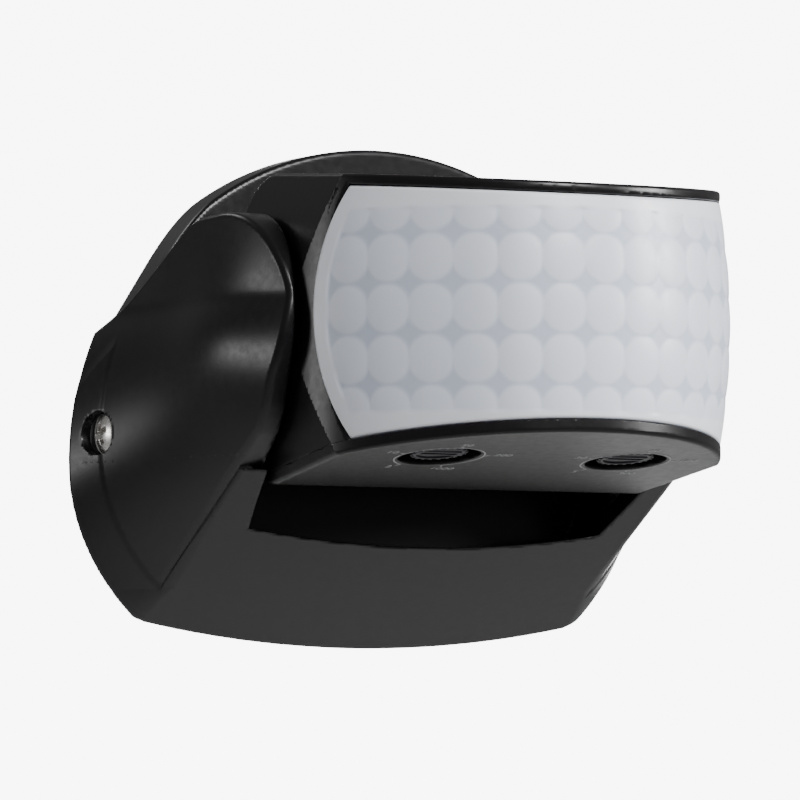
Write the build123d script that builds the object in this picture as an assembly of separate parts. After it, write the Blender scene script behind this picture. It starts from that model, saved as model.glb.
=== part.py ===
from build123d import *
import os
from math import cos, exp, radians, sin, sqrt, tan

# Wall-mounted passive infrared motion sensor, in millimetres.
# The wall is the plane y = 0, -Y points out into the room, +X is to the right and +Z is up.
# The origin is the centre of the round base, on the wall.

# Round base and bracket
BASE_R = 43.0
FLAT_OFF = 41.25
FLAT_ANGLE = 32.7
BASE_DEPTH = 6.5
WALL = 2.0
SLOPE = 32.8
BACK_SLOPE = 32.0
APRON_LOW_Z = -24.1
APRON_CURVE_R = 192.0
LIP_Z = -10.9
LIP_CURVE_R = 162.6
CORNER_X = 32.2
CORNER_Z = -21.0
SIDE_LOW_X = 38.9
SIDE_LOW_Z = -14.0
ARM_TOP_X = 38.0
ARM_WALL = 1.15
SHOULDER_Y = -21.5
SHOULDER_Z = 31.0

# Tilt axis of the head, parallel to X
PIVOT_Y = -30.0
PIVOT_Z = 17.3
HUB_R = 14.6
DOME_RISE = 2.0
DOME_SPREAD = 7.5

# Sides of the head and of the gap between the arms: arcs in a front view
HEAD_MID_X = 30.4
HEAD_EDGE_X = 27.5
HEAD_MID_Z = 16.5
HEAD_HALF_H = 19.5
ARM_GAP = 0.7

# Head top, underside and lens
LENS_AXIS_Y = -36.3
RIM_R = 30.7
LENS_MID_R = 32.0
LENS_EDGE_R = 30.5
LENS_MID_Z = 17.5
LENS_T = 1.0
RIM_T = 1.4
TOP_FRONT_Z = 33.6
TOP_FRONT_Y = -67.0
TOP_RISE = 0.085
UNDER_REF_Y = -50.3
UNDER_REF_Z = -0.5
UNDER_TILT = 8.5
HEAD_REAR_Y = -23.0
HEAD_WALL = 1.8

# Dials on the underside
DIAL_X = 13.7
DIAL_Y = -49.2
DIAL_R = 3.75
WELL_R = 5.3
WELL_DEPTH = 2.6

# Screws
COVER_SCREW_Y = -5.6
COVER_SCREW_Z = 3.8
COVER_SCREW_X = 41.0
COVER_HEAD_R = 2.75

BIG = 120.0

os.makedirs("parts", exist_ok=True)


def save(shape, node):
    export_step(shape, "parts/" + node + ".step")


def side_plate(points_yz, half_x):
    """A closed outline drawn in the YZ plane, made solid from -half_x to +half_x."""
    face = make_face(Polyline(*points_yz, close=True))
    return extrude(Plane.YZ * face, half_x, both=True)


def rod_x(x0, x1, y, z, r):
    length = abs(x1 - x0)
    middle = Location(((x0 + x1) / 2, y, z), (0, 90, 0))
    return middle * Cylinder(r, length)


def rod_y(y0, y1, x, z, r):
    length = abs(y1 - y0)
    middle = Location((x, (y0 + y1) / 2, z), (90, 0, 0))
    return middle * Cylinder(r, length)


def block(x0, x1, y0, y1, z0, z1):
    centre = Location(((x0 + x1) / 2, (y0 + y1) / 2, (z0 + z1) / 2))
    return centre * Box(abs(x1 - x0), abs(y1 - y0), abs(z1 - z0))


def mirrored(shape):
    return mirror(shape, about=Plane.YZ)


def pair(shape):
    return Compound(children=[shape, mirrored(shape)])


# ---- surfaces shared by the bracket's pieces ----

def front_limit(inset):
    """Everything behind the sloping, gently bowed front of the bracket, moved in by inset."""
    out_y = -sin(radians(SLOPE))
    out_z = -cos(radians(SLOPE))
    reach = APRON_CURVE_R
    spot = (0, -out_y * reach, APRON_LOW_Z - out_z * reach)
    along = (0, -cos(radians(SLOPE)), sin(radians(SLOPE)))
    axis = Plane(origin=spot, z_dir=along)
    return axis * Cylinder(APRON_CURVE_R - inset, 4 * BIG)


def side_half_width(y, z):
    """Half the width of the bracket at depth y and height z."""
    if z < 0:
        wall_width = BASE_R * sqrt(max(1 - (z / 32.3) ** 2, 0.1))
    else:
        wall_width = max(sqrt(max(BASE_R ** 2 - z ** 2, 0)), ARM_TOP_X)
    taper = min(0.10 + 0.227 * exp(-z / 15.5), 0.75)
    from_hub = ((y - PIVOT_Y) ** 2 + (z - PIVOT_Z) ** 2) / (2 * DOME_SPREAD ** 2)
    dome = DOME_RISE * exp(-from_hub)
    return max(wall_width - taper * abs(y) + dome, 20.0)


def side_section(y, inset):
    """Outline of the bracket's two sides in the plane of depth y."""
    heights = [-26, -19, -12, -5, 2, 8, 13, 18, 23, 28, 34, 44]
    right = [(side_half_width(y, z) - inset, z) for z in heights]
    left = [(-x, z) for x, z in reversed(right)]
    outline = Spline(*right) + Line(right[-1], left[0]) + Spline(*left) + Line(left[-1], right[0])
    plane = Plane(origin=(0, y, 0), x_dir=(1, 0, 0), z_dir=(0, -1, 0))
    return plane * make_face(outline)


def side_body(inset):
    sections = [side_section(y, inset) for y in (1, -12, -23, -34.3, -45, -56)]
    return loft(sections)


def arm_profile(inset):
    """Side view of the arms: a round hub, a sloping front and a shoulder with a sloping back."""
    radius = HUB_R - inset
    hub = Location((0, PIVOT_Y, PIVOT_Z), (0, 90, 0)) * Cylinder(radius, 2 * BIG)
    chin_y = PIVOT_Y - radius * cos(radians(24))
    chin_z = PIVOT_Z - radius * sin(radians(24))
    front_y = PIVOT_Y - (radius + 1.1) * sin(radians(SLOPE))
    front_z = PIVOT_Z - (radius + 1.1) * cos(radians(SLOPE))
    foot_z = front_z - tan(radians(SLOPE)) * (1 - front_y)
    back_y = SHOULDER_Y - inset * tan(radians(BACK_SLOPE / 2))
    back_z = SHOULDER_Z - inset
    wall_z = back_z - tan(radians(BACK_SLOPE)) * (1 - back_y)
    outline = [
        (PIVOT_Y, PIVOT_Z),
        (chin_y, chin_z),
        (front_y, front_z),
        (1, foot_z),
        (1, wall_z),
        (back_y, back_z),
        (PIVOT_Y, PIVOT_Z + radius),
    ]
    return hub + side_plate(outline, BIG)


def head_gap(extra):
    """The space between the arms: its sides are arcs in a front view."""
    mid = HEAD_MID_X + extra
    edge = HEAD_EDGE_X + extra
    top = HEAD_MID_Z + HEAD_HALF_H
    low = HEAD_MID_Z - HEAD_HALF_H
    low_far = low - 9
    drop = (HEAD_HALF_H + 9) ** 2 - HEAD_HALF_H ** 2
    far = edge - drop * (mid - edge) / HEAD_HALF_H ** 2
    right = ThreePointArc((far, low_far), (mid, HEAD_MID_Z), (far, top + 9))
    left = ThreePointArc((-far, top + 9), (-mid, HEAD_MID_Z), (-far, low_far))
    outline = right + Line((far, top + 9), (-far, top + 9)) + left + Line((-far, low_far), (far, low_far))
    plane = Plane(origin=(0, 0, 0), x_dir=(1, 0, 0), z_dir=(0, -1, 0))
    return plane * make_face(outline)


def gap_solid(extra, y0, y1):
    sketch = head_gap(extra)
    return Location((0, y0, 0)) * extrude(sketch, y0 - y1)


def base_outline(inset):
    """Front view of the round base: a circle whose lower sides run in to two corners."""
    r = BASE_R - inset
    join_z = -7.0
    join_x = sqrt(r ** 2 - join_z ** 2)
    corner_x = CORNER_X - inset
    corner_z = CORNER_Z + 0.55 * inset
    low_x = SIDE_LOW_X - inset
    top = ThreePointArc((join_x, join_z), (0, r), (-join_x, join_z))
    left = ThreePointArc((-join_x, join_z), (-low_x, SIDE_LOW_Z), (-corner_x, corner_z))
    floor = ThreePointArc((-corner_x, corner_z), (0, APRON_LOW_Z - 1 + inset), (corner_x, corner_z))
    right = ThreePointArc((corner_x, corner_z), (low_x, SIDE_LOW_Z), (join_x, join_z))
    plane = Plane(origin=(0, 0, 0), x_dir=(1, 0, 0), z_dir=(0, -1, 0))
    return plane * make_face(top + left + floor + right)


# ---- bracket ----

PAN_Y = -12.2
PAN_TOP_Z = 14.0
COVER_T = 1.2
COVER_SCREW_SPOTS = [(-19.0, 11.5), (-21.0, -2.0)]


def disc_solid(inset, y0, y1):
    """The round base between two depths, with a flat at the upper left and the upper right."""
    disc = Location((0, y0, 0)) * extrude(base_outline(inset), y0 - y1)
    flat = Location((0, 0, 0), (0, -FLAT_ANGLE, 0)) * block(-BIG, FLAT_OFF - inset, -BIG, BIG, -BIG, BIG)
    return disc & flat & mirrored(flat)


def arm_hollow():
    hollow = side_body(ARM_WALL) & arm_profile(WALL) & front_limit(WALL)
    return hollow - gap_solid(ARM_GAP - 0.01, 2, -BIG)


def cover_posts():
    """Bosses inside the arms that take the arm covers' screws."""
    posts = []
    for y, z in COVER_SCREW_SPOTS:
        start = gap_half_width(ARM_GAP, z) + COVER_T + 0.4
        end = side_half_width(y, z) - ARM_WALL + 0.6
        post = rod_x(start, end, y, z, 2.3) & side_body(0.5)
        posts.append(post - rod_x(start - 1, end - 1.4, y, z, 0.9))
    return [*posts, *[mirrored(p) for p in posts]]


def gap_half_width(extra, z):
    """Half the width of the gap between the arms at height z."""
    mid = HEAD_MID_X + extra
    sag = HEAD_MID_X - HEAD_EDGE_X
    radius = (HEAD_HALF_H ** 2 + sag ** 2) / (2 * sag)
    return mid - radius + sqrt(radius ** 2 - (z - HEAD_MID_Z) ** 2)


def bracket_housing():
    arms = side_body(0) & arm_profile(0)
    arms = arms & block(-BIG, BIG, -BIG, 0, -BIG, BIG)
    disc = disc_solid(0, 0, -BASE_DEPTH) & side_body(0)
    apron = block(-CORNER_X, CORNER_X, -22, 0, -30, -4) & side_body(0)
    solid = (disc + arms + apron) & front_limit(0)

    channel = gap_solid(ARM_GAP, -BASE_DEPTH, -BIG) & front_limit(WALL)
    above_lip = Location((0, -20, LIP_Z + LIP_CURVE_R), (90, 0, 0)) * Cylinder(LIP_CURVE_R, 100)
    beyond_lip = gap_solid(ARM_GAP, -BASE_DEPTH, -BIG) & above_lip
    shell = solid - channel - beyond_lip
    pan = block(-BIG, BIG, PAN_Y, -BASE_DEPTH + 0.5, -30, PAN_TOP_Z) & side_body(0.5)
    shell = shell + (pan & front_limit(0.5))

    inside_disc = disc_solid(WALL, 1, -BASE_DEPTH + WALL) & front_limit(WALL) & side_body(WALL)
    inside_pan = block(-BIG, BIG, PAN_Y + WALL, 1, -30, PAN_TOP_Z - WALL)
    inside_pan = inside_pan & front_limit(WALL) & side_body(WALL)
    shell = shell - inside_disc - arm_hollow() - inside_pan
    for post in cover_posts():
        shell = shell + post
    for sign in (-1, 1):
        inner = sign * (COVER_SCREW_X - 8)
        outer = sign * (COVER_SCREW_X + 6)
        seat = sign * (COVER_SCREW_X - 1.3)
        shell = shell - rod_x(inner, outer, COVER_SCREW_Y, COVER_SCREW_Z, 1.7)
        shell = shell - rod_x(seat, outer, COVER_SCREW_Y, COVER_SCREW_Z, COVER_HEAD_R + 0.12)
    return shell


TRUNNION_R = 5.2
TRUNNION_BORE_R = 3.5
TRUNNION_END_X = 33.15
COLLAR_R = 6.6
COLLAR_X = 30.4
CLIP_X0 = 32.4


def arm_cover_right():
    """Plate that closes the inner side of an arm, with the bore that carries the head."""
    plate = gap_solid(ARM_GAP + COVER_T, PAN_Y - 0.1, -BIG) - gap_solid(ARM_GAP, 0, -BIG)
    plate = plate & arm_profile(WALL + 0.12) & front_limit(WALL + 0.12) & block(0, BIG, -BIG, 0, -BIG, BIG)
    plate = plate & side_body(ARM_WALL + 0.1)
    plate = plate - rod_x(20, 40, PIVOT_Y, PIVOT_Z, TRUNNION_R + 0.06)
    plate = plate - rod_x(20, COLLAR_X + 0.75, PIVOT_Y, PIVOT_Z, COLLAR_R + 0.6)
    for y, z in COVER_SCREW_SPOTS:
        face = gap_half_width(ARM_GAP, z)
        plate = plate - rod_x(face - 2, face + 5, y, z, 1.0)
        plate = plate - rod_x(face - 2, face + 0.8, y, z, 1.75)
    return plate


def small_screw(head_r, head_h, shank_r, length):
    """A cross-head screw: its head's top is at z = 0 and its shank points along -Z."""
    head = Location((0, 0, -head_h / 2)) * Cylinder(head_r, head_h)
    shank = Location((0, 0, -head_h - length / 2)) * Cylinder(shank_r, length)
    arm = head_r * 1.25
    cross = Box(arm, head_r * 0.26, head_h) + Box(head_r * 0.26, arm, head_h)
    return head + shank - cross


def facing(x, y, z, direction):
    """A place at x, y, z whose local +Z points along the given direction."""
    return Plane(origin=(x, y, z), z_dir=direction).location


def arm_cover_screws():
    screws = []
    for y, z in COVER_SCREW_SPOTS:
        face = gap_half_width(ARM_GAP, z)
        screws.append(facing(face + 0.1, y, z, (-1, 0, 0)) * small_screw(1.6, 0.65, 0.8, 3.4))
    return Compound(children=[*screws, *[mirrored(s) for s in screws]])


def cover_screws():
    screw = small_screw(COVER_HEAD_R, 1.2, 1.25, 7.0)
    right = facing(COVER_SCREW_X, COVER_SCREW_Y, COVER_SCREW_Z, (1, 0, 0)) * screw
    return pair(right)


# ---- base plate and wiring ----

PLATE_T = 2.5
SLOT_X = 19.0
SLOT_Z = 17.0
SLOT_R = 2.2
SLOT_LENGTH = 8.0
ENTRY_Z = 3.5
ENTRY_R = 7.0
GROMMET_BORE_R = 4.0


def seal_ring(y0, y1, outer, inner):
    return disc_solid(outer, y0, y1) - disc_solid(inner, y0 + 1, y1 - 1)


def base_plate():
    plate = disc_solid(WALL + 0.3, 0, -PLATE_T) & side_body(WALL + 0.3) & front_limit(WALL + 0.3)
    for sign in (-1, 1):
        lug = block(sign * 31.0, sign * 37.0, -9.2, -PLATE_T + 0.2, 0.0, 7.6)
        plate = plate + lug
        plate = plate - rod_x(sign * 30, sign * 38, COVER_SCREW_Y, COVER_SCREW_Z, 1.3)
        slot = SlotOverall(SLOT_LENGTH, 2 * SLOT_R)
        place = Plane(origin=(sign * SLOT_X, 0, SLOT_Z), x_dir=(1, 0, 0), z_dir=(0, -1, 0))
        cut = extrude(place * slot, 5, both=True)
        plate = plate - cut
    plate = plate - rod_y(1, -5, 0, ENTRY_Z, ENTRY_R)
    groove = seal_ring(1, -1.0, 4.5, 6.7)
    return plate - groove


def wall_seal():
    return seal_ring(0, -0.95, 4.6, 6.6)


def cable_grommet():
    body = rod_y(0, -PLATE_T - 0.2, 0, ENTRY_Z, ENTRY_R - 0.02)
    flange = rod_y(-PLATE_T, -PLATE_T - 1.5, 0, ENTRY_Z, ENTRY_R + 1.4)
    return body + flange - rod_y(1, -6, 0, ENTRY_Z, GROMMET_BORE_R)


POLES = 4
POLE_PITCH = 7.0
BLOCK_Y = -PLATE_T
BLOCK_H = 7.2
BLOCK_Z0 = -13.6
BLOCK_Z1 = -6.0


def pole_x(i):
    return (i - (POLES - 1) / 2) * POLE_PITCH


def terminal_block():
    half = POLES * POLE_PITCH / 2
    body = block(-half, half, BLOCK_Y, BLOCK_Y - BLOCK_H, BLOCK_Z0, BLOCK_Z1)
    middle_z = (BLOCK_Z0 + BLOCK_Z1) / 2
    for i in range(POLES):
        x = pole_x(i)
        body = body - block(x - 2, x + 2, BLOCK_Y - 1.5, BLOCK_Y - 5, BLOCK_Z0 - 1, BLOCK_Z1 + 1)
        body = body - rod_y(BLOCK_Y - 4, BLOCK_Y - 9, x, middle_z, 1.6)
    return body


def terminal_clamps():
    clamps = []
    middle_z = (BLOCK_Z0 + BLOCK_Z1) / 2
    for i in range(POLES):
        x = pole_x(i)
        bar = block(x - 1.95, x + 1.95, BLOCK_Y - 1.55, BLOCK_Y - 4.95, BLOCK_Z0 + 1.2, BLOCK_Z1 - 1.2)
        bar = bar - Location((x, BLOCK_Y - 2.6, middle_z)) * Cylinder(0.9, 12)
        clamps.append(bar - rod_y(BLOCK_Y - 3, BLOCK_Y - 6, x, middle_z, 1.2))
    return Compound(children=clamps)


def terminal_screws():
    screws = []
    middle_z = (BLOCK_Z0 + BLOCK_Z1) / 2
    for i in range(POLES):
        x = pole_x(i)
        head = rod_y(BLOCK_Y - 5.0, BLOCK_Y - 6.6, x, middle_z, 1.5)
        shank = rod_y(BLOCK_Y - 3.6, BLOCK_Y - 5.2, x, middle_z, 1.1)
        slot = block(x - 1.2, x + 1.2, BLOCK_Y - 6.1, BLOCK_Y - 7, middle_z - 0.25, middle_z + 0.25)
        screws.append(head + shank - slot)
    return Compound(children=screws)


def wire(points, radius, bends):
    path = FilletPolyline(*points, radius=bends)
    start = Plane(origin=path @ 0, z_dir=path % 0)
    return sweep(start * Circle(radius), path=path)


LEAD_R = 0.6
LEAD_X = 34.1
LEAD_DROP = 0.9


def base_leads():
    """Three leads from the terminals, up the left arm and into the hollow pivot."""
    leads = []
    for i in range(3):
        shift = (i - 1) * 1.5
        start_x = -(POLES * POLE_PITCH / 2) - 0.2
        route = [
            (start_x, BLOCK_Y - 1.2 - (i * 1.5), -7.0),
            (-30.0, -7.3, -6.5 + shift),
            (-LEAD_X, -17.0, 2.0 + shift),
            (-LEAD_X, PIVOT_Y + 0.5, PIVOT_Z - LEAD_DROP + shift),
            (-32.2, PIVOT_Y - 1.0, PIVOT_Z - LEAD_DROP + shift),
        ]
        leads.append(wire(route, LEAD_R, 1.4))
    return Compound(children=leads)


# ---- head ----

LENS_ARC_R = 33.8
LENS_ARC_Y = -79.8
SLAB_T = 1.6


def top_z(y):
    return TOP_FRONT_Z + TOP_RISE * (y - TOP_FRONT_Y)


def under_z(y):
    return UNDER_REF_Z + tan(radians(UNDER_TILT)) * (UNDER_REF_Y - y)


def head_side(inset, low_inset):
    """Side view of the head: a wedge with rounded rear corners."""
    rear = HEAD_REAR_Y - inset
    far = -85.0
    corners = [
        (far, top_z(far) - inset),
        (rear, top_z(rear) - inset),
        (rear, under_z(rear) + low_inset),
        (far, under_z(far) + low_inset),
    ]
    solid = side_plate(corners, 60)
    back = solid.edges().filter_by(Axis.X).group_by(Axis.Y)[-1]
    return fillet(back, 7.0 - inset)


def head_form(inset, low_inset=None):
    """Outer form of the head, moved in by inset."""
    if low_inset is None:
        low_inset = inset
    front = Location((0, LENS_AXIS_Y, 15)) * Cylinder(RIM_R - inset, 90)
    behind = block(-45, 45, LENS_AXIS_Y, 0, -30, 60)
    return gap_solid(-inset, 0, -BIG) & head_side(inset, low_inset) & (front + behind)


def below(z_offset):
    """The half-space under the plane that lies z_offset above the underside."""
    points = [(-95, under_z(-95) + z_offset), (5, under_z(5) + z_offset), (5, -60), (-95, -60)]
    return side_plate(points, 60)


def lens_zone(grow, top_gap, low_gap):
    """The opening that the lens fills, seen from the side: a curved rear edge, a top and a bottom."""
    rear = rod_x(-60, 60, LENS_ARC_Y, LENS_MID_Z, LENS_ARC_R + grow)
    points = [
        (-95, top_z(-95) - top_gap),
        (-20, top_z(-20) - top_gap),
        (-20, under_z(-20) + low_gap),
        (-95, under_z(-95) + low_gap),
    ]
    return rear & side_plate(points, 60)


def lens_barrel(inset):
    """Solid of revolution with the lens's barrel-shaped outside, moved in by inset."""
    half = 20.0
    sag_at_edge = LENS_MID_R - LENS_EDGE_R
    edge_h = 16.5
    arc_r = (edge_h ** 2 + sag_at_edge ** 2) / (2 * sag_at_edge)
    end_r = LENS_MID_R - arc_r + sqrt(arc_r ** 2 - half ** 2) - inset
    side = ThreePointArc((end_r, -half), (LENS_MID_R - inset, 0), (end_r, half))
    outline = side + Polyline((end_r, half), (0, half), (0, -half), (end_r, -half))
    solid = revolve(Plane.XZ * make_face(outline), Axis.Z)
    return Location((0, LENS_AXIS_Y, LENS_MID_Z)) * solid


def under_plane(x, y_local, z_local):
    """A place on the underside: local +Z points down and out, local +Y to the front."""
    down = (0, -sin(radians(UNDER_TILT)), -cos(radians(UNDER_TILT)))
    origin = (0, DIAL_Y, under_z(DIAL_Y))
    return Plane(origin=origin, x_dir=(1, 0, 0), z_dir=down).location * Location((x, y_local, z_local))


def on_board(x0, x1, y0, y1, z0, z1):
    """A box above the dials, in the underside's directions; z is the height above the underside."""
    centre = under_plane((x0 + x1) / 2, (y0 + y1) / 2, -(z0 + z1) / 2)
    return centre * Box(x1 - x0, y1 - y0, z1 - z0)


def on_board_rod(x, y, z0, z1, r):
    return under_plane(x, y, -(z0 + z1) / 2) * Cylinder(r, z1 - z0)


HEAD_SCREW_X = 15.0
HEAD_SCREW_Z = 7.5
BOARD_SCREW_X = 5.0
BOARD_SCREW_YL = -1.0
BOARD_Z0 = 8.2
BOARD_Z1 = 9.8


def head_shell():
    shell = head_form(0) - head_form(HEAD_WALL, SLAB_T - 0.1) - below(SLAB_T)
    shell = shell - lens_zone(0, RIM_T, 0)
    for sign in (-1, 1):
        collar = rod_x(sign * 27.8, sign * COLLAR_X, PIVOT_Y, PIVOT_Z, COLLAR_R)
        trunnion = rod_x(sign * 29.0, sign * TRUNNION_END_X, PIVOT_Y, PIVOT_Z, TRUNNION_R)
        shell = shell + collar + trunnion
        shell = shell - rod_x(sign * 26, sign * 40, PIVOT_Y, PIVOT_Z, TRUNNION_BORE_R)
        groove = rod_x(sign * CLIP_X0, sign * (CLIP_X0 + 0.6), PIVOT_Y, PIVOT_Z, TRUNNION_R + 1)
        groove = groove - rod_x(sign * 32.0, sign * 33.4, PIVOT_Y, PIVOT_Z, TRUNNION_R - 0.7)
        shell = shell - groove
        x = sign * HEAD_SCREW_X
        shell = shell - rod_y(HEAD_REAR_Y + 1, HEAD_REAR_Y - 3, x, HEAD_SCREW_Z, 1.1)
        shell = shell - rod_y(HEAD_REAR_Y + 1, HEAD_REAR_Y - 1.0, x, HEAD_SCREW_Z, 2.1)
    return shell


def head_base():
    """Bottom of the head: a well for each dial, posts for the board and two for the head's screws."""
    slab = head_form(0) & below(SLAB_T - 0.02)
    for sign in (-1, 1):
        x = sign * DIAL_X
        slab = slab + on_board_rod(x, 0, 0.5, WELL_DEPTH + 1.0, WELL_R + 1.0)
        post = on_board_rod(sign * BOARD_SCREW_X, BOARD_SCREW_YL, 0.5, BOARD_Z0 - 0.02, 1.9)
        slab = slab + post - on_board_rod(sign * BOARD_SCREW_X, BOARD_SCREW_YL, 3, 12, 0.8)
    for sign in (-1, 1):
        x = sign * DIAL_X
        slab = slab - on_board_rod(x, 0, -3, WELL_DEPTH, WELL_R)
        slab = slab - on_board_rod(x, 0, 0, 8, DIAL_SHAFT_R + 0.05)
        x = sign * HEAD_SCREW_X
        post = block(x - 2.6, x + 2.6, -30.5, -27.5, -4, HEAD_SCREW_Z + 2.6)
        slab = slab + (post & head_form(HEAD_WALL + 0.05, SLAB_T - 0.1))
        slab = slab - rod_y(-27, -29.9, x, HEAD_SCREW_Z, 0.92)
    return slab


def head_seal():
    """Cord seal on the bottom plate, along the inside of the head's rear and sides."""
    ring = head_form(1.95, SLAB_T) & below(SLAB_T + 1.0)
    ring = ring - below(SLAB_T) - block(-24.4, 24.4, -60, -27.0, -60, 60)
    return ring & block(-60, 60, -46, 0, -60, 60)


def fresnel_lens():
    shell = lens_barrel(0) - lens_barrel(LENS_T)
    return shell & lens_zone(-0.12, RIM_T + 0.1, SLAB_T + 0.1)


def lens_frame():
    """Frame behind the lens's border, which holds it against the head's rims."""
    shell = lens_barrel(LENS_T + 0.08) - lens_barrel(LENS_T + 1.6)
    frame = shell & lens_zone(-0.3, RIM_T + 0.5, SLAB_T + 0.2) & head_form(0.3)
    return frame - lens_zone(-4.0, RIM_T + 3.2, SLAB_T + 3.2)


def friction_washer_right():
    ring = rod_x(COLLAR_X + 0.03, COLLAR_X + 0.68, PIVOT_Y, PIVOT_Z, COLLAR_R - 0.3)
    return ring - rod_x(COLLAR_X - 1, COLLAR_X + 2, PIVOT_Y, PIVOT_Z, TRUNNION_R + 0.08)


def pivot_clip_right():
    ring = rod_x(CLIP_X0 + 0.04, CLIP_X0 + 0.56, PIVOT_Y, PIVOT_Z, TRUNNION_R + 1.2)
    ring = ring - rod_x(32, 35, PIVOT_Y, PIVOT_Z, TRUNNION_R - 0.65)
    return ring - block(32, 35, PIVOT_Y - 2.2, PIVOT_Y + 2.2, PIVOT_Z - 12, PIVOT_Z)


# ---- dials ----

DIAL_SHAFT_R = 1.4
DIAL_TEETH = 20


def dial(x):
    """Adjuster with a notched rim and a driver slot, on a short shaft."""
    knob = on_board_rod(x, 0, 0.35, 2.3, DIAL_R)
    for i in range(DIAL_TEETH):
        turn = under_plane(x, 0, -1.3) * Location((0, 0, 0), (0, 0, i * 360 / DIAL_TEETH))
        knob = knob - turn * Location((DIAL_R, 0, 0)) * Box(0.7, 0.5, 3)
    knob = knob - on_board(x - 2.7, x + 2.7, -0.45, 0.45, -1, 1.2)
    shaft = on_board_rod(x, 0, 2.2, 7.2, DIAL_SHAFT_R)
    return knob + shaft


def potentiometer(x):
    body = on_board(x - 3.6, x + 3.6, -3.8, 3.8, 4.0, BOARD_Z0 - 0.05)
    return body - on_board_rod(x, 0, 3, 7.4, DIAL_SHAFT_R + 0.06)


# ---- electronics ----

def power_board():
    board = on_board(-23, 23, -17, 14, BOARD_Z0, BOARD_Z1) & head_form(4.6, 0)
    for sign in (-1, 1):
        board = board - on_board_rod(sign * BOARD_SCREW_X, BOARD_SCREW_YL, 5, 12, 1.15)
    return board


def relay():
    return fillet(on_board(-20, -10.5, -12.5, -1.5, BOARD_Z1, 20.5).edges().filter_by(Axis.X), 0.6)


def film_capacitor():
    return fillet(on_board(12, 18, -13, -1.5, BOARD_Z1, 20.0).edges().filter_by(Axis.X), 0.8)


def electrolytic_capacitor():
    can = on_board_rod(11.5, 7.5, BOARD_Z1, 21.0, 3.6)
    return fillet(can.edges().sort_by(Axis.Z)[-1], 0.5)


def varistor():
    disc = under_plane(-13, 7.5, -(BOARD_Z1 + 4.8)) * Location((0, 0, 0), (90, 0, 0)) * Cylinder(3.6, 2.2)
    legs = [on_board_rod(-13 + dx, 7.5, BOARD_Z1, BOARD_Z1 + 2.5, 0.35) for dx in (-2, 2)]
    return disc + legs[0] + legs[1]


SENSOR_Z = 19.0
SENSOR_BOARD_Y = -36.0


def sensor_board():
    board = block(-9, 9, SENSOR_BOARD_Y, SENSOR_BOARD_Y + 1.2, 8.6, 28.5)
    return board - below(BOARD_Z1 + 0.05)


def pyro_sensor():
    flange = rod_y(SENSOR_BOARD_Y, SENSOR_BOARD_Y - 0.6, 0, SENSOR_Z, 4.9)
    can = rod_y(SENSOR_BOARD_Y - 0.4, SENSOR_BOARD_Y - 4.2, 0, SENSOR_Z, 4.15)
    window = block(-2.0, 2.0, SENSOR_BOARD_Y - 3.7, SENSOR_BOARD_Y - 5, SENSOR_Z - 1.5, SENSOR_Z + 1.5)
    return flange + can - window


def pyro_window():
    y0 = SENSOR_BOARD_Y - 3.75
    return block(-1.95, 1.95, y0, y0 - 0.4, SENSOR_Z - 1.45, SENSOR_Z + 1.45)


def photocell():
    return rod_y(SENSOR_BOARD_Y, SENSOR_BOARD_Y - 2.0, 6.2, 26.0, 2.1)


def indicator_led():
    body = rod_y(SENSOR_BOARD_Y, SENSOR_BOARD_Y - 2.4, -6.2, 26.0, 1.5)
    tip = Location((-6.2, SENSOR_BOARD_Y - 2.4, 26.0)) * Sphere(1.5)
    return body + tip


def lead_connector():
    return on_board(-22.5, -17.5, 3.8, 9.8, BOARD_Z1, 16.0) & head_form(3.5, 0)


def head_leads():
    """The same three leads, from the hollow pivot down to the board's connector."""
    leads = []
    for i in range(3):
        shift = (i - 1) * 1.5
        route = [
            (-31.6, PIVOT_Y - 1.0, PIVOT_Z - LEAD_DROP + shift),
            (-25.0, PIVOT_Y - 1.0, PIVOT_Z - LEAD_DROP + shift),
            (-23.8, -44.3, 14.6 + shift),
            (-20.0, -52.1, 12.4 + shift),
        ]
        leads.append(wire(route, LEAD_R, 1.4))
    return Compound(children=leads)


def board_screws():
    screw = small_screw(1.7, 1.0, 0.75, 4.5)
    right = under_plane(BOARD_SCREW_X, BOARD_SCREW_YL, -(BOARD_Z1 + 1.02)) * Location((0, 0, 0), (180, 0, 0))
    return pair(right * screw)


def head_screws():
    screw = small_screw(1.9, 0.9, 0.9, 5.5)
    right = facing(HEAD_SCREW_X, HEAD_REAR_Y - 0.05, HEAD_SCREW_Z, (0, 1, 0))
    return pair(right * screw)


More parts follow.
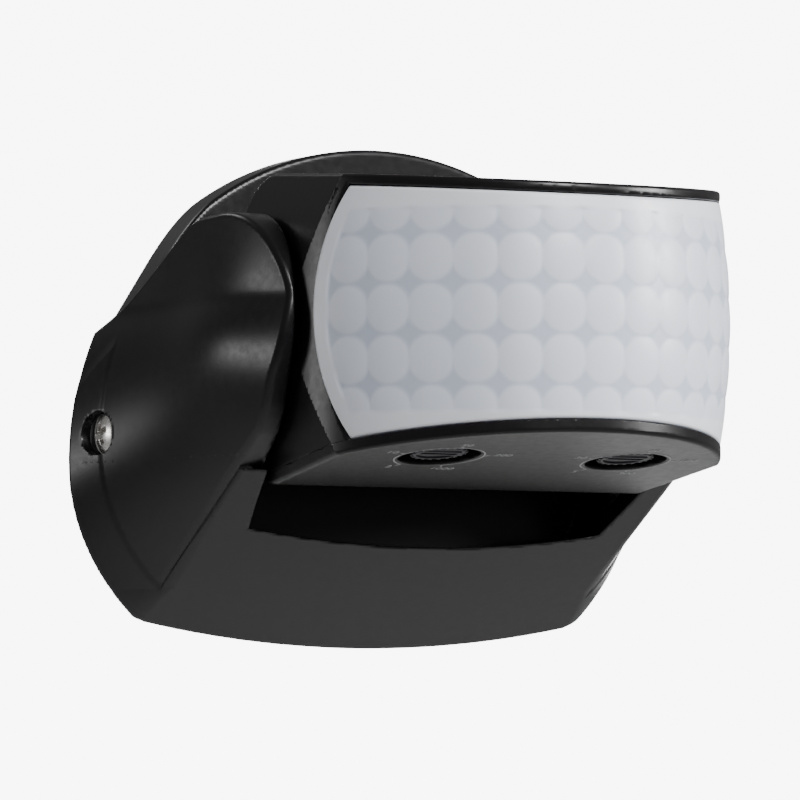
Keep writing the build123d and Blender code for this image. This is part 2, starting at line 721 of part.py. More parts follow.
NODES = {
    "bracket_housing": bracket_housing,
    "base_plate": base_plate,
    "wall_seal": wall_seal,
    "cable_grommet": cable_grommet,
    "terminal_block": terminal_block,
    "terminal_clamps": terminal_clamps,
    "terminal_screws": terminal_screws,
    "cover_screws": cover_screws,
    "arm_cover_right": arm_cover_right,
    "arm_cover_left": lambda: mirrored(arm_cover_right()),
    "arm_cover_screws": arm_cover_screws,
    "base_leads": base_leads,
    "head_shell": head_shell,
    "head_base": head_base,
    "head_seal": head_seal,
    "fresnel_lens": fresnel_lens,
    "lens_frame": lens_frame,
    "friction_washer_right": friction_washer_right,
    "friction_washer_left": lambda: mirrored(friction_washer_right()),
    "pivot_clip_right": pivot_clip_right,
    "pivot_clip_left": lambda: mirrored(pivot_clip_right()),
    "power_board": power_board,
    "relay": relay,
    "film_capacitor": film_capacitor,
    "electrolytic_capacitor": electrolytic_capacitor,
    "varistor": varistor,
    "lux_pot": lambda: potentiometer(-DIAL_X),
    "time_pot": lambda: potentiometer(DIAL_X),
    "sensor_board": sensor_board,
    "pyro_sensor": pyro_sensor,
    "pyro_window": pyro_window,
    "photocell": photocell,
    "indicator_led": indicator_led,
    "lead_connector": lead_connector,
    "head_leads": head_leads,
    "board_screws": board_screws,
    "head_screws": head_screws,
    "lux_dial": lambda: dial(-DIAL_X),
    "time_dial": lambda: dial(DIAL_X),
}

for node, make in NODES.items():
    save(make(), node)
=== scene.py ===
import math

import bpy
import numpy as np
from mathutils import Matrix, Vector


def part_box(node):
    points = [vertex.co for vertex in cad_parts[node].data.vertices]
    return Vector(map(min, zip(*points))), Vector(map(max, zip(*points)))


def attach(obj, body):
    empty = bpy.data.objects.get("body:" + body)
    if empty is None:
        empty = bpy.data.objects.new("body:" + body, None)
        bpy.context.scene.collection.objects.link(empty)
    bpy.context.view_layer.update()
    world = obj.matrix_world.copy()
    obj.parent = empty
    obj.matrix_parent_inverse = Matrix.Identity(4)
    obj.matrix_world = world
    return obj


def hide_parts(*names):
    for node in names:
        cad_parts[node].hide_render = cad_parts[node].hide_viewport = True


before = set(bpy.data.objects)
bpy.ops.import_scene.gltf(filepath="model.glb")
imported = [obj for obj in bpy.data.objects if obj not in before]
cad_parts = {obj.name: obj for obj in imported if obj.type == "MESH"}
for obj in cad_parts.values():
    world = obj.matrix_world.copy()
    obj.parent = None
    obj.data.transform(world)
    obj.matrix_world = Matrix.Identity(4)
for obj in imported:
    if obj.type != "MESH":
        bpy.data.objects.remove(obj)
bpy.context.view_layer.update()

# Wall-mounted motion sensor. Shapes are worked out in millimetres and written in metres.
# The wall is the plane y = 0, -Y points out into the room and +Z is up.
MM = 0.001


# ---- driving dimensions in millimetres: the CAD part's, but for the hub's side view ----

BASE_R = 43.0
FLAT_OFF = 41.25
FLAT_ANGLE = math.radians(32.7)
BASE_DEPTH = 6.5
WALL = 2.0
ARM_WALL = 1.15
SLOPE = math.radians(32.8)
BACK_SLOPE = math.radians(32.0)
SHOULDER_Y = -21.5
SHOULDER_Z = 31.0
APRON_LOW_Z = -24.1
APRON_CURVE_R = 192.0
LIP_MID_Z = -10.9
LIP_CURVE_R = 162.6
CORNER_X = 32.2
ARM_TOP_X = 38.0
PIVOT_Y = -30.0
PIVOT_Z = 17.3
HUB_Y = -29.0
HUB_Z = 17.4
HUB_R = 14.0
CHIN_ANGLE = math.radians(24.0)
CHIN_REACH = 2.0
DOME_RISE = 2.0
DOME_SPREAD = 7.5

HEAD_MID_X = 30.4
HEAD_EDGE_X = 27.5
HEAD_MID_Z = 16.5
HEAD_HALF_H = 19.5
ARM_GAP = 0.7
GAP_SAG = HEAD_MID_X - HEAD_EDGE_X
GAP_ARC_R = (HEAD_HALF_H ** 2 + GAP_SAG ** 2) / (2 * GAP_SAG)

LENS_AXIS_Y = -36.3
RIM_R = 30.7
LENS_MID_R = 32.0
LENS_EDGE_R = 30.5
LENS_MID_Z = 17.5
LENS_EDGE_H = 16.5
LENS_T = 1.0
RIM_T = 1.4
LENS_ARC_R = 33.8
LENS_ARC_Y = -79.8
TOP_FRONT_Z = 33.6
TOP_FRONT_Y = -67.0
TOP_RISE = 0.085
UNDER_REF_Y = -50.3
UNDER_REF_Z = -0.5
UNDER_TILT = math.radians(8.5)
HEAD_REAR_Y = -23.0
REAR_FILLET = 7.0
HEAD_WALL = 1.8
SLAB_T = 1.6

DIAL_X = 13.7
DIAL_Y = -49.2
DIAL_R = 3.75
DIAL_TEETH = 20
DIAL_SHAFT_R = 1.4
WELL_R = 5.3
WELL_DEPTH = 2.6
PAN_Y = -12.2
PAN_TOP_Z = 14.0
COVER_T = 1.2
COVER_SCREW_SPOTS = [(-19.0, 11.5), (-21.0, -2.0)]
COVER_SCREW = (41.0, -5.6, 3.8)
COVER_HEAD_R = 2.75
TRUNNION_R = 5.2
TRUNNION_BORE_R = 3.5
TRUNNION_END_X = 33.15
TRUNNION_X0 = 29.0
COLLAR_R = 6.6
COLLAR_X0 = 27.8
COLLAR_X = 30.4
CLIP_X0 = 32.4
HEAD_SCREW_X = 15.0
HEAD_SCREW_Z = 7.5
BOARD_SCREW_X = 5.0
BOARD_SCREW_YL = -1.0
BOARD_Z0 = 8.2


def top_z(y):
    return TOP_FRONT_Z + TOP_RISE * (y - TOP_FRONT_Y)


def under_z(y):
    return UNDER_REF_Z + math.tan(UNDER_TILT) * (UNDER_REF_Y - y)


# The underside's own directions: local +Z points down and out of it, local +Y to the front.
UNDER = Matrix((
    (1, 0, 0, 0),
    (0, -math.cos(UNDER_TILT), -math.sin(UNDER_TILT), DIAL_Y * MM),
    (0, math.sin(UNDER_TILT), -math.cos(UNDER_TILT), under_z(DIAL_Y) * MM),
    (0, 0, 0, 1),
))


# ---- signed distance fields: negative inside, combined with rounded edges ----

def both(a, b, r=0.0):
    """What lies in a and in b, with the edge between them rounded to radius r."""
    if r == 0:
        return np.maximum(a, b)
    return np.minimum(np.maximum(a, b), -r) + np.hypot(np.maximum(a + r, 0), np.maximum(b + r, 0))


def either(a, b, r=0.0):
    """What lies in a or in b, with a fillet of radius r where they meet."""
    return -both(-a, -b, r)


def without(a, b, r=0.0):
    return both(a, -b, r)


def disc_outline(x, z, inset=0.0):
    """Front view of the round base, with a flat at the upper left and the upper right."""
    flat = np.abs(x) * math.cos(FLAT_ANGLE) + z * math.sin(FLAT_ANGLE) - FLAT_OFF + inset
    return both(np.hypot(x, z) - BASE_R + inset, flat, 1.5)


def rod_y(x, y, z, y0, y1, x0, z0, r):
    return both(np.hypot(x - x0, z - z0) - r, np.abs(y - (y0 + y1) / 2) - abs(y1 - y0) / 2)


def rod_x(x, y, z, x0, x1, y0, z0, r):
    return both(np.hypot(y - y0, z - z0) - r, np.abs(x - (x0 + x1) / 2) - abs(x1 - x0) / 2)


def sloping_front(x, y, z, inset=0.0):
    """The bracket's sloping, gently bowed front."""
    outward = -math.sin(SLOPE) * y - math.cos(SLOPE) * (z - APRON_LOW_Z)
    return np.hypot(x, APRON_CURVE_R + outward) - APRON_CURVE_R + inset


def side_half_width(y, z):
    low = BASE_R * np.sqrt(np.maximum(1 - (z / 32.3) ** 2, 0.1))
    rim = np.sqrt(np.maximum(BASE_R ** 2 - z ** 2, 0))
    high = (rim + ARM_TOP_X + np.hypot(rim - ARM_TOP_X, 0.6)) / 2
    taper = np.minimum(0.095 + 0.227 * np.exp(-z / 15.5), 0.75)
    from_hub = ((y - PIVOT_Y) ** 2 + (z - PIVOT_Z) ** 2) / (2 * DOME_SPREAD ** 2)
    width = np.where(z < 0, low, high) - taper * np.abs(y) + DOME_RISE * np.exp(-from_hub)
    return np.maximum(width, 20.0)


def bracket_side(x, y, z, inset=0.0):
    """The bracket's two outer sides, with the low dome over the pivot."""
    reach = 0.05
    width = side_half_width(y, z)
    slope_y = (side_half_width(y + reach, z) - side_half_width(y - reach, z)) / (2 * reach)
    slope_z = (side_half_width(y, z + reach) - side_half_width(y, z - reach)) / (2 * reach)
    return (np.abs(x) - width) / np.sqrt(1 + slope_y ** 2 + slope_z ** 2) + inset


def beyond_line(y, z, start, end):
    """Distance to the left of the line from start to end, seen with y to the right and z up."""
    dy, dz = end[0] - start[0], end[1] - start[1]
    return (dy * (z - start[1]) - dz * (y - start[0])) / math.hypot(dy, dz)


def arm_profile(y, z, inset=0.0, rounding=0.0):
    """Side view of the arms: a round hub, a sloping front and a shoulder with a sloping back."""
    r = HUB_R - inset
    top = (HUB_Y, HUB_Z + r)
    shoulder = (SHOULDER_Y - inset * math.tan(BACK_SLOPE / 2), SHOULDER_Z - inset)
    back = (shoulder[0] + 10, shoulder[1] - 10 * math.tan(BACK_SLOPE))
    reach = r + CHIN_REACH
    front = (HUB_Y - reach * math.sin(SLOPE), HUB_Z - reach * math.cos(SLOPE))
    foot = (front[0] + 10, front[1] - 10 * math.tan(SLOPE))
    chin = (HUB_Y - r * math.cos(CHIN_ANGLE), HUB_Z - r * math.sin(CHIN_ANGLE))
    body = both(beyond_line(y, z, top, shoulder), beyond_line(y, z, shoulder, back), rounding)
    low = both(beyond_line(y, z, foot, front), beyond_line(y, z, front, chin), rounding)
    body = np.maximum(np.maximum(body, low), beyond_line(y, z, chin, top))
    return np.minimum(np.hypot(y - HUB_Y, z - HUB_Z) - r, body)


def head_gap(x, z, extra):
    """The space between the arms in a front view: two arcs."""
    centre = HEAD_MID_X + extra - GAP_ARC_R
    return np.hypot(np.abs(x) - centre, z - HEAD_MID_Z) - GAP_ARC_R


def gap_half_width(extra, z):
    return HEAD_MID_X + extra - GAP_ARC_R + math.sqrt(GAP_ARC_R ** 2 - (z - HEAD_MID_Z) ** 2)


# ---- bracket housing ----

RIM_ROUND = 0.8
CREASE_ROUND = 0.7
FRONT_ROUND = 0.45
LIP_ROUND = 0.4


def housing_field(x, y, z):
    side = bracket_side(x, y, z)
    front = sloping_front(x, y, z)
    arms = both(side, both(arm_profile(y, z, 0.0, 1.5), y, 0.3), CREASE_ROUND)
    disc = np.maximum(disc_outline(x, z), side)
    disc = both(disc, np.abs(y + BASE_DEPTH / 2) - BASE_DEPTH / 2, RIM_ROUND)
    apron = np.maximum(np.maximum(np.abs(x) - CORNER_X, side), np.maximum(y, z + 1.6))
    solid = both(either(either(disc, arms, 0.5), apron), front, FRONT_ROUND)

    gap = head_gap(x, z, ARM_GAP)
    above_skin = sloping_front(x, y, z, WALL)
    channel = both(both(gap, above_skin, 0.6), y + BASE_DEPTH, 0.5)
    lip = np.hypot(x, z - LIP_MID_Z - LIP_CURVE_R) - LIP_CURVE_R
    above_lip = both(gap, np.maximum(lip, y - PAN_Y))
    shell = without(solid, either(channel, above_lip), LIP_ROUND)

    pan = np.maximum(np.maximum(PAN_Y - y, y + BASE_DEPTH - 0.5), z - PAN_TOP_Z)
    pan = np.maximum(np.maximum(pan, side + 0.5), front + 0.5)
    shell = either(shell, both(pan, head_gap(x, z, ARM_GAP + 2)), 0.5)

    inside_disc = both(disc_outline(x, z, WALL), side + WALL)
    inside_disc = both(np.maximum(inside_disc, front + WALL), -BASE_DEPTH + WALL - y, 0.3)
    inside_arm = np.maximum(np.maximum(side + ARM_WALL, arm_profile(y, z, WALL)), front + WALL)
    inside_arm = both(inside_arm, -head_gap(x, z, ARM_GAP - 0.01))
    inside_pan = np.maximum(np.maximum(PAN_Y + WALL - y, z - PAN_TOP_Z + WALL), side + WALL)
    inside_pan = np.maximum(inside_pan, front + WALL)
    shell = without(shell, either(either(inside_disc, inside_arm), inside_pan))

    for post_y, post_z in COVER_SCREW_SPOTS:
        start = gap_half_width(ARM_GAP, post_z) + COVER_T + 0.4
        end = float(side_half_width(post_y, post_z)) - ARM_WALL + 0.6
        post = rod_x(np.abs(x), y, z, start, end, post_y, post_z, 2.3)
        bore = rod_x(np.abs(x), y, z, start - 1, end - 1.4, post_y, post_z, 0.9)
        shell = either(shell, without(np.maximum(post, side + 0.5), bore))
    sx, sy, sz = COVER_SCREW
    shank = rod_x(np.abs(x), y, z, sx - 8, sx + 6, sy, sz, 1.7)
    seat = rod_x(np.abs(x), y, z, sx - 1.3, sx + 6, sy, sz, COVER_HEAD_R + 0.12)
    return without(shell, either(shank, seat), 0.12)


def arm_cover_field(x, y, z):
    """Plate that closes the inner side of the right arm, with the bore for the head's pivot."""
    plate = both(head_gap(x, z, ARM_GAP + COVER_T), -head_gap(x, z, ARM_GAP), 0.25)
    edge = np.maximum(arm_profile(y, z, WALL + 0.12), sloping_front(x, y, z, WALL + 0.12))
    edge = np.maximum(np.maximum(edge, bracket_side(x, y, z, ARM_WALL + 0.1)), y - PAN_Y + 0.1)
    plate = both(plate, np.maximum(edge, -x), 0.25)
    plate = without(plate, rod_x(x, y, z, 20, 40, PIVOT_Y, PIVOT_Z, TRUNNION_R + 0.06))
    plate = without(plate, rod_x(x, y, z, 20, COLLAR_X + 0.75, PIVOT_Y, PIVOT_Z, COLLAR_R + 0.6))
    for spot_y, spot_z in COVER_SCREW_SPOTS:
        face = gap_half_width(ARM_GAP, spot_z)
        plate = without(plate, rod_x(x, y, z, face - 2, face + 5, spot_y, spot_z, 1.0))
        plate = without(plate, rod_x(x, y, z, face - 2, face + 0.8, spot_y, spot_z, 1.75), 0.1)
    return plate


# ---- head ----

HEAD_EDGE_ROUND = 0.5
RIM_EDGE_ROUND = 0.35
BEZEL_W = 1.2
BEZEL_DEPTH = 0.22


def under_coordinates(x, y, z):
    """A point in the underside's directions: sideways, to the front, and up above the underside."""
    dy, dz = y - DIAL_Y, z - under_z(DIAL_Y)
    s, c = math.sin(UNDER_TILT), math.cos(UNDER_TILT)
    return x, -dy * c + dz * s, dy * s + dz * c


def head_form(x, y, z, inset=0.0, low_inset=None, edge=0.0):
    low_inset = inset if low_inset is None else low_inset
    up = under_coordinates(x, y, z)[2]
    top = (z - top_z(y)) / math.hypot(1, TOP_RISE) + inset
    rear = y - HEAD_REAR_Y + inset
    fillet = REAR_FILLET - inset
    side_view = np.maximum(both(top, rear, fillet), both(low_inset - up, rear, fillet))
    rim = np.hypot(x, np.minimum(y - LENS_AXIS_Y, 0)) - RIM_R + inset
    return both(np.maximum(head_gap(x, z, -inset), rim), side_view, edge)


def lens_zone(y, z, grow, top_gap, low_gap):
    rear = np.hypot(y - LENS_ARC_Y, z - LENS_MID_Z) - LENS_ARC_R - grow
    top = (z - top_z(y)) / math.hypot(1, TOP_RISE) + top_gap
    low = low_gap - under_coordinates(0, y, z)[2]
    return np.maximum(rear, np.maximum(top, low))


def on_board_rod(p, x0, y0, z0, z1, r):
    """Upright rod on the underside's directions; p is the point in them."""
    return both(np.hypot(p[0] - x0, p[1] - y0) - r, np.abs(p[2] - (z0 + z1) / 2) - (z1 - z0) / 2)


def shell_field(x, y, z):
    up = under_coordinates(x, y, z)[2]
    mx = np.abs(x)
    outer = head_form(x, y, z, edge=HEAD_EDGE_ROUND)
    strip = np.maximum(lens_zone(y, z, BEZEL_W, RIM_T + 0.5, 0), -head_gap(x, z, -BEZEL_DEPTH))
    strip = np.maximum(strip, -(y - LENS_AXIS_Y + 24))
    outer = without(outer, strip, 0.1)
    inner = head_form(x, y, z, HEAD_WALL, SLAB_T - 0.1)
    opening = lens_zone(y, z, 0, RIM_T, 0)
    shell = without(without(outer, inner), opening, RIM_EDGE_ROUND)
    shell = both(shell, SLAB_T - up, 0.02)
    collar = rod_x(mx, y, z, COLLAR_X0, COLLAR_X, PIVOT_Y, PIVOT_Z, COLLAR_R)
    trunnion = rod_x(mx, y, z, TRUNNION_X0, TRUNNION_END_X, PIVOT_Y, PIVOT_Z, TRUNNION_R)
    shell = either(shell, either(collar, trunnion, 0.2), 0.2)
    shell = without(shell, rod_x(mx, y, z, 26, 40, PIVOT_Y, PIVOT_Z, TRUNNION_BORE_R))
    groove = rod_x(mx, y, z, CLIP_X0, CLIP_X0 + 0.6, PIVOT_Y, PIVOT_Z, TRUNNION_R + 1)
    groove = without(groove, rod_x(mx, y, z, 32.0, 33.4, PIVOT_Y, PIVOT_Z, TRUNNION_R - 0.7))
    bore = rod_y(mx, y, z, HEAD_REAR_Y + 1, HEAD_REAR_Y - 3, HEAD_SCREW_X, HEAD_SCREW_Z, 1.1)
    seat = rod_y(mx, y, z, HEAD_REAR_Y + 1, HEAD_REAR_Y - 1, HEAD_SCREW_X, HEAD_SCREW_Z, 2.1)
    return without(without(shell, groove), either(bore, seat), 0.1)


def base_field(x, y, z):
    p = under_coordinates(x, y, z)
    pm = (np.abs(x), p[1], p[2])
    slab = both(head_form(x, y, z, edge=HEAD_EDGE_ROUND), p[2] - SLAB_T + 0.02, 0.02)
    slab = either(slab, on_board_rod(pm, DIAL_X, 0, 0.5, WELL_DEPTH + 1.0, WELL_R + 1.0), 0.3)
    slab = either(slab, on_board_rod(pm, BOARD_SCREW_X, BOARD_SCREW_YL, 0.5, BOARD_Z0 - 0.02, 1.9), 0.3)
    slab = without(slab, on_board_rod(pm, BOARD_SCREW_X, BOARD_SCREW_YL, 3, 12, 0.8))
    slab = without(slab, on_board_rod(pm, DIAL_X, 0, -3, WELL_DEPTH, WELL_R), 0.2)
    slab = without(slab, on_board_rod(pm, DIAL_X, 0, 0, 8, DIAL_SHAFT_R + 0.05))
    post = np.maximum(np.abs(pm[0] - HEAD_SCREW_X) - 2.6, np.abs(y + 29) - 1.5)
    inside = head_form(x, y, z, HEAD_WALL + 0.05, SLAB_T - 0.1)
    post = np.maximum(np.maximum(post, z - HEAD_SCREW_Z - 2.6), inside)
    bore = rod_y(pm[0], y, z, -27, -29.9, HEAD_SCREW_X, HEAD_SCREW_Z, 0.92)
    return without(either(slab, post, 0.2), bore)


def dial_field(x, y, z):
    """Adjuster in the underside's directions, with +Z up into the head."""
    turn = 2 * math.pi / DIAL_TEETH
    angle = (np.arctan2(y, x) / turn - np.round(np.arctan2(y, x) / turn)) * turn
    radius = np.hypot(x, y)
    notch = np.maximum(np.abs(radius * np.sin(angle)) - 0.27, DIAL_R - 0.4 - radius)
    knob = both(without(radius - DIAL_R, notch, 0.1), np.abs(z - 1.325) - 0.975, 0.15)
    dish = np.maximum(radius - 2.9, z - 0.6)
    knob = without(knob, dish, 0.15)
    bar = both(both(np.abs(y) - 0.95, radius - 2.95), np.abs(z - 1.0) - 0.62, 0.15)
    knob = either(knob, bar, 0.1)
    knob = without(knob, np.maximum(np.maximum(np.abs(x) - 2.6, np.abs(y) - 0.4), z - 1.2), 0.08)
    return either(knob, both(radius - DIAL_SHAFT_R, np.abs(z - 4.7) - 2.5, 0.1), 0.15)


def cross_screw_field(x, y, z):
    """Pan-head screw with a tapered cross recess: its head's top is at z = 0."""
    head_h = 1.2
    crown = np.sqrt(x ** 2 + y ** 2 + (z + 6.2) ** 2) - 6.2
    head = both(both(np.hypot(x, y) - COVER_HEAD_R, -head_h - z, 0.05), crown, 0.25)
    shank = both(np.hypot(x, y) - 1.25, np.abs(z + 4.5) - 3.5, 0.2)
    thread = 0.12 * np.abs(((z + np.arctan2(y, x) / (2 * math.pi) * 0.8) / 0.8) % 1 - 0.5)
    wing = 0.46 + 0.18 * z
    reach = 1.75 + 0.9 * z
    arm_a = np.maximum(np.abs(x) - wing, np.abs(y) - reach)
    arm_b = np.maximum(np.abs(y) - wing, np.abs(x) - reach)
    recess = np.maximum(either(arm_a, arm_b, 0.15), -1.0 - z)
    return without(either(head, shank + thread, 0.1), recess, 0.1)


# ---- meshes from fields: a vertex in each cell that the surface crosses, fitted to its planes ----

CORNERS = np.array([(a, b, c) for a in (0, 1) for b in (0, 1) for c in (0, 1)])
CELL_EDGES = [(a, b) for a in range(8) for b in range(a + 1, 8) if abs(CORNERS[a] - CORNERS[b]).sum() == 1]


def gradient(field, points, reach=0.02):
    out = np.empty_like(points)
    for axis in range(3):
        step = np.zeros(3)
        step[axis] = reach
        out[:, axis] = field(*(points + step).T) - field(*(points - step).T)
    return out / np.maximum(np.linalg.norm(out, axis=1, keepdims=True), 1e-12)


def fitted_points(field, values, cells, origin, step):
    """The point of each cell nearest to all the planes in which the surface cuts its edges."""
    corner = np.stack([values[tuple((cells + c).T)] for c in CORNERS], axis=1)
    count = len(cells)
    normal_sum = np.zeros((count, 3, 3))
    side_sum = np.zeros((count, 3))
    middle = np.zeros((count, 3))
    hits = np.zeros((count, 1))
    for a, b in CELL_EDGES:
        cut = (corner[:, a] < 0) != (corner[:, b] < 0)
        share = (corner[cut, a] / (corner[cut, a] - corner[cut, b]))[:, None]
        at = origin + (cells[cut] + CORNERS[a] + share * (CORNERS[b] - CORNERS[a])) * step
        normal = gradient(field, at)
        at = at - field(*at.T)[:, None] * normal
        normal_sum[cut] += normal[:, :, None] * normal[:, None, :]
        side_sum[cut] += normal * (normal * at).sum(axis=1, keepdims=True)
        middle[cut] += at
        hits[cut] += 1
    middle /= hits
    pull = 0.04 * hits
    normal_sum += pull[:, :, None] * np.eye(3)
    found = np.linalg.solve(normal_sum, (side_sum + pull * middle)[:, :, None])[:, :, 0]
    low = origin + cells * step
    found = np.clip(found, low - 0.1 * step, low + 1.1 * step)
    off = np.clip(field(*found.T), -0.2 * step, 0.2 * step)
    return found - off[:, None] * gradient(field, found)


def contour(field, low, high, step):
    """Quads round the field's surface in the box, and the normal at each of their corners."""
    axes = [np.arange(a, b + step, step) for a, b in zip(low, high)]
    shape = tuple(len(a) for a in axes)
    values = np.broadcast_to(field(*np.meshgrid(*axes, indexing="ij", sparse=True)), shape)
    inside = values < 0
    n = np.array(shape) - 1
    filled = sum(inside[a:n[0] + a, b:n[1] + b, c:n[2] + c].astype(np.int8) for a, b, c in CORNERS)
    cells = np.argwhere((filled > 0) & (filled < 8))
    index = np.full(tuple(n), -1, np.int64)
    index[tuple(cells.T)] = np.arange(len(cells))
    points = fitted_points(field, values, cells, np.array(low, float), step)
    faces = []
    for a in range(3):
        b, c = (a + 1) % 3, (a + 2) % 3
        first = np.take(inside, range(n[a]), axis=a)
        change = np.argwhere(first != np.take(inside, range(1, n[a] + 1), axis=a))
        inner = (change[:, b] > 0) & (change[:, c] > 0) & (change[:, b] < n[b]) & (change[:, c] < n[c])
        change = change[inner]
        quad = []
        for back_b, back_c in ((1, 1), (0, 1), (0, 0), (1, 0)):
            cell = change.copy()
            cell[:, b] -= back_b
            cell[:, c] -= back_c
            quad.append(index[tuple(cell.T)])
        quad = np.stack(quad, axis=1)
        outward = first[tuple(change.T)]
        faces.append(np.where(outward[:, None], quad, quad[:, ::-1]))
    faces = np.concatenate(faces)
    corners = points[faces]
    middle = corners.mean(axis=1, keepdims=True)
    near = (corners + 0.25 * (middle - corners)).reshape(-1, 3)
    return points, faces, gradient(field, near)


def add_mesh(name, points, faces, normals=None):
    """A mesh object from points in millimetres and an array of quads."""
    mesh = bpy.data.meshes.new(name)
    mesh.vertices.add(len(points))
    mesh.vertices.foreach_set("co", (np.asarray(points) * MM).ravel())
    mesh.loops.add(faces.size)
    mesh.loops.foreach_set("vertex_index", faces.ravel().astype(np.int32))
    mesh.polygons.add(len(faces))
    mesh.polygons.foreach_set("loop_start", np.arange(0, faces.size, faces.shape[1], dtype=np.int32))
    mesh.update(calc_edges=True)
    mesh.shade_smooth()
    if normals is not None:
        mesh.normals_split_custom_set(normals)
    piece = bpy.data.objects.new(name, mesh)
    bpy.context.scene.collection.objects.link(piece)
    return piece


def node_box(node, margin):
    low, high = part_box(node)
    return [v / MM - margin for v in low], [v / MM + margin for v in high]


def mirrored(field):
    return lambda x, y, z: field(-x, y, z)


def add_form(field, node, step, body, slot_name):
    """The visual piece that takes a CAD node's place, from its field."""
    low, high = node_box(node, 1.3 * step)
    piece = add_mesh(node + "_moulded", *contour(field, low, high, step))
    return settle(piece, [node], body, MATERIALS[slot_name])


def settle(piece, nodes, body, material):
    """Gives a piece its material and body, and hides the CAD nodes whose place it takes."""
    piece.data.materials.append(material)
    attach(piece, body)
    if nodes:
        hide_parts(*nodes)
    return piece


# ---- lens ----

LENS_GAP = 0.12
COLUMN_PITCH = math.radians(10.3)
ROW_PITCH = 6.42
PAD_R = 3.35
PAD_RISE = 0.16
PAD_LOW_Z = 4.5
PAD_TOP_Z = 30.3
PAD_MARGIN = 2.5
LENS_COLUMNS = 300
LENS_ROWS = 140


def barrel_radius(z):
    sag = LENS_MID_R - LENS_EDGE_R
    arc = (LENS_EDGE_H ** 2 + sag ** 2) / (2 * sag)
    return LENS_MID_R - arc + np.sqrt(arc ** 2 - (z - LENS_MID_Z) ** 2)


def lens_grid(inset):
    """Angle and height of the lens's grid points: u runs from side to side and v from bottom to top."""
    u, v = np.meshgrid(np.linspace(-1, 1, LENS_COLUMNS), np.linspace(0, 1, LENS_ROWS), indexing="ij")
    angle = u * math.radians(65)
    height = LENS_MID_Z + (v - 0.5) * 28
    for _ in range(12):
        y = LENS_AXIS_Y - (barrel_radius(height) - inset) * np.cos(angle)
        bottom = under_z(y) + (SLAB_T + 0.1) / math.cos(UNDER_TILT)
        top = top_z(y) - RIM_T - 0.1
        height = bottom + v * (top - bottom)
        rear_y = LENS_ARC_Y + np.sqrt((LENS_ARC_R - LENS_GAP) ** 2 - (height - LENS_MID_Z) ** 2)
        reach = np.arccos(np.clip((LENS_AXIS_Y - rear_y) / (barrel_radius(height) - inset), -1, 1))
        angle = u * reach
    return angle, height, (1 - np.abs(u)) * reach * LENS_MID_R


def smooth_step(value, low, high):
    t = np.clip((value - low) / (high - low), 0, 1)
    return t * t * (3 - 2 * t)


def pad_height(angle, height, from_side):
    """Relief of the lenslets, from 0 between them to 1, and the share of the patterned zone."""
    across = (angle / COLUMN_PITCH - np.round(angle / COLUMN_PITCH)) * COLUMN_PITCH * LENS_MID_R
    row = (height - LENS_MID_Z) / ROW_PITCH
    along = (row - np.round(row)) * ROW_PITCH
    distance = np.hypot(across, along)
    dome = np.sqrt(np.clip(1 - (distance / (PAD_R * 1.25)) ** 2, 0, 1))
    floor = math.sqrt(1 - 1 / 1.25 ** 2)
    pad = np.clip((dome - floor) / (1 - floor), 0, 1)
    zone = smooth_step(from_side, PAD_MARGIN - 0.25, PAD_MARGIN + 0.25)
    zone = zone * smooth_step(height, PAD_LOW_Z - 0.25, PAD_LOW_Z + 0.25)
    return pad, zone * (1 - smooth_step(height, PAD_TOP_Z - 0.25, PAD_TOP_Z + 0.25))


def barrel_point(angle, height, radius):
    return np.stack([radius * np.sin(angle), LENS_AXIS_Y - radius * np.cos(angle), height], axis=-1)


def grid_faces(first, second, columns, rows):
    """Quads between neighbouring points of a grid whose numbers start at first."""
    i, j = np.meshgrid(np.arange(columns - 1), np.arange(rows - 1), indexing="ij")
    a = (first + i * rows + j).ravel()
    quad = np.stack([a, a + rows, a + rows + 1, a + 1], axis=1)
    return quad if second else quad[:, ::-1]


def build_lens(material):
    angle, height, from_side = lens_grid(0)
    pad, zone = pad_height(angle, height, from_side)
    edge = np.minimum(np.minimum(from_side, height - height[:, :1]), height[:, -1:] - height)
    rounding = 0.3 * (1 - np.sqrt(np.clip(1 - (1 - np.clip(edge / 0.3, 0, 1)) ** 2, 0, 1)))
    outer_r = barrel_radius(height) - PAD_RISE + PAD_RISE * pad * zone + PAD_RISE * (1 - zone) - rounding
    outer = barrel_point(angle, height, outer_r)
    angle_in, height_in, _ = lens_grid(LENS_T)
    inner = barrel_point(angle_in, height_in, barrel_radius(height_in) - LENS_T)
    points = np.concatenate([outer.reshape(-1, 3), inner.reshape(-1, 3)])
    count = LENS_COLUMNS * LENS_ROWS
    faces = [grid_faces(0, True, LENS_COLUMNS, LENS_ROWS), grid_faces(count, False, LENS_COLUMNS, LENS_ROWS)]
    number = np.arange(count).reshape(LENS_COLUMNS, LENS_ROWS)
    border = np.concatenate([number[:-1, 0], number[-1, :-1], number[:0:-1, -1], number[0, :0:-1]])
    after = np.roll(border, -1)
    faces.append(np.stack([after, border, border + count, after + count], axis=1))
    piece = add_mesh("fresnel_lens_moulded", points, np.concatenate(faces))
    # The pad and margin values mark where the lens material paints its lighter lenslets, darker gaps and
    # lighter margin: painted light and shade.
    for key, outside, inside in (("pad", pad * zone, np.zeros(count)), ("margin", 1 - zone, np.ones(count))):
        layer = piece.data.attributes.new(key, "FLOAT", "POINT")
        layer.data.foreach_set("value", np.concatenate([outside.ravel(), inside]).astype(np.float32))
    piece.data.set_sharp_from_angle(angle=math.radians(50))
    return settle(piece, ["fresnel_lens"], "head", material)


# ---- printed scales ----

RING_R = WELL_R + 0.45
RING_W = 0.22
PRINT_T = 0.03
TICK_ANGLES = [-150, -75, 0, 75, 150]
LUX_NUMBERS = ["2", "10", "50", "200", "1000"]
TIME_NUMBERS = ["5", "30", "60", "180", "300"]


